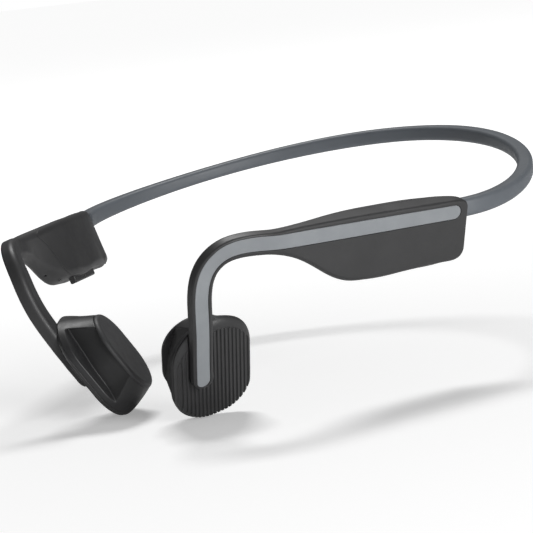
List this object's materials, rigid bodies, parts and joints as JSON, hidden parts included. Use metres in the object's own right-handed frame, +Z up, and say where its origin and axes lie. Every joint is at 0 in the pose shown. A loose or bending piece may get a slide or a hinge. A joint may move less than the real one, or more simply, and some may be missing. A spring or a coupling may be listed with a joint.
{
  "type": "bone conduction headphones",
  "caption": "Open-ear bone conduction headphones: sprung neckband, two behind-ear housings with over-ear hooks, cheekbone driver pads, buttons and a covered charging socket.",
  "frame": {"origin": "on the left-right mirror plane, midway front to back, at the height of the lowest point of the pads", "axes": "+Z up as worn, the wearer faces -Y, +X to the wearer's left ear; the neckband closes behind the head at +Y"},
  "size_m": [0.1378, 0.1482, 0.0554],
  "materials": {
    "sleeve_silicone": "satin slate-grey silicone",
    "titanium_wire": "drawn titanium",
    "cable_jacket": "matte black jacket",
    "soft_touch_shell": "charcoal soft-touch",
    "soft_touch_cover": "charcoal soft-touch",
    "satin_trim": "satin light grey",
    "sprung_steel": "plain steel",
    "cell_foil": "dull foil",
    "circuit_board": "green solder mask",
    "shield_tin": "tinned sheet",
    "cover_silicone": "charcoal silicone",
    "button_plastic": "charcoal",
    "switch_black": "black",
    "light_pipe": "smoked clear",
    "mesh_steel": "dark woven mesh",
    "pad_shell": "charcoal soft-touch",
    "ribbed_plastic": "charcoal with upright ribs",
    "skin_silicone": "smooth dark grey silicone",
    "magnet_nickel": "nickel plated",
    "coil_copper": "enamelled copper"
  },
  "bodies": {
    "neckband": {"neckband_sleeve": "sleeve_silicone", "neckband_wire": "titanium_wire", "neckband_cable": "cable_jacket"},
    "left_earpiece": {"battery": "cell_foil", "battery_protection_board": "circuit_board", "left_band_anchor": "sprung_steel", "left_driver_magnet": "magnet_nickel", "left_driver_yoke": "sprung_steel", "left_frame": "soft_touch_shell", "left_hook_lead": "cable_jacket", "left_inner_cover": "soft_touch_cover", "left_pad_bowl": "pad_shell", "left_skin_pad": "skin_silicone", "left_spring_plate": "sprung_steel", "left_trim_strip": "satin_trim", "left_voice_coil": "coil_copper", "multifunction_board": "circuit_board", "multifunction_switch": "switch_black"},
    "right_earpiece": {"charging_socket": "shield_tin", "main_board": "circuit_board", "microphone": "shield_tin", "microphone_mesh": "mesh_steel", "radio_shield_can": "shield_tin", "right_band_anchor": "sprung_steel", "right_driver_magnet": "magnet_nickel", "right_driver_yoke": "sprung_steel", "right_frame": "soft_touch_shell", "right_hook_lead": "cable_jacket", "right_inner_cover": "soft_touch_cover", "right_pad_bowl": "pad_shell", "right_ribbed_cap": "ribbed_plastic", "right_skin_pad": "skin_silicone", "right_spring_plate": "sprung_steel", "right_trim_strip": "satin_trim", "right_voice_coil": "coil_copper", "status_light_pipe": "light_pipe", "volume_down_switch": "switch_black", "volume_up_switch": "switch_black"},
    "multifunction_button": {"multifunction_button_cap": "ribbed_plastic"},
    "volume_up_key": {"volume_up_button": "button_plastic"},
    "volume_down_key": {"volume_down_button": "button_plastic"},
    "port_flap": {"port_cover": "cover_silicone"}
  },
  "joints": [
    {"name": "left_flex", "type": "hinge", "parent": "neckband", "child": "left_earpiece", "pos_m": [0.0628, -0.00545, 0.04256], "axis": [0, 0, 1], "range_deg": [-3, 25], "stiffness_Nm_per_rad": 0.15},
    {"name": "right_flex", "type": "hinge", "parent": "neckband", "child": "right_earpiece", "pos_m": [-0.0628, -0.00545, 0.04256], "axis": [0, 0, -1], "range_deg": [-3, 25], "stiffness_Nm_per_rad": 0.15},
    {"name": "multifunction_press", "type": "slide", "parent": "left_earpiece", "child": "multifunction_button", "axis": [-0.8163, 0.31, 0.4875], "range_m": [0, 0.0003], "stiffness_N_per_m": 300},
    {"name": "volume_up_press", "type": "slide", "parent": "right_earpiece", "child": "volume_up_key", "axis": [-0.2852, -0.0844, 0.9548], "range_m": [0, 0.00035], "stiffness_N_per_m": 300},
    {"name": "volume_down_press", "type": "slide", "parent": "right_earpiece", "child": "volume_down_key", "axis": [-0.2852, -0.0844, 0.9548], "range_m": [0, 0.00035], "stiffness_N_per_m": 300},
    {"name": "port_cover_swing", "type": "hinge", "parent": "right_earpiece", "child": "port_flap", "pos_m": [-0.05428, -0.01514, 0.03027], "axis": [-0.8782, -0.3762, -0.2955], "range_deg": [0, 100]}
  ]
}
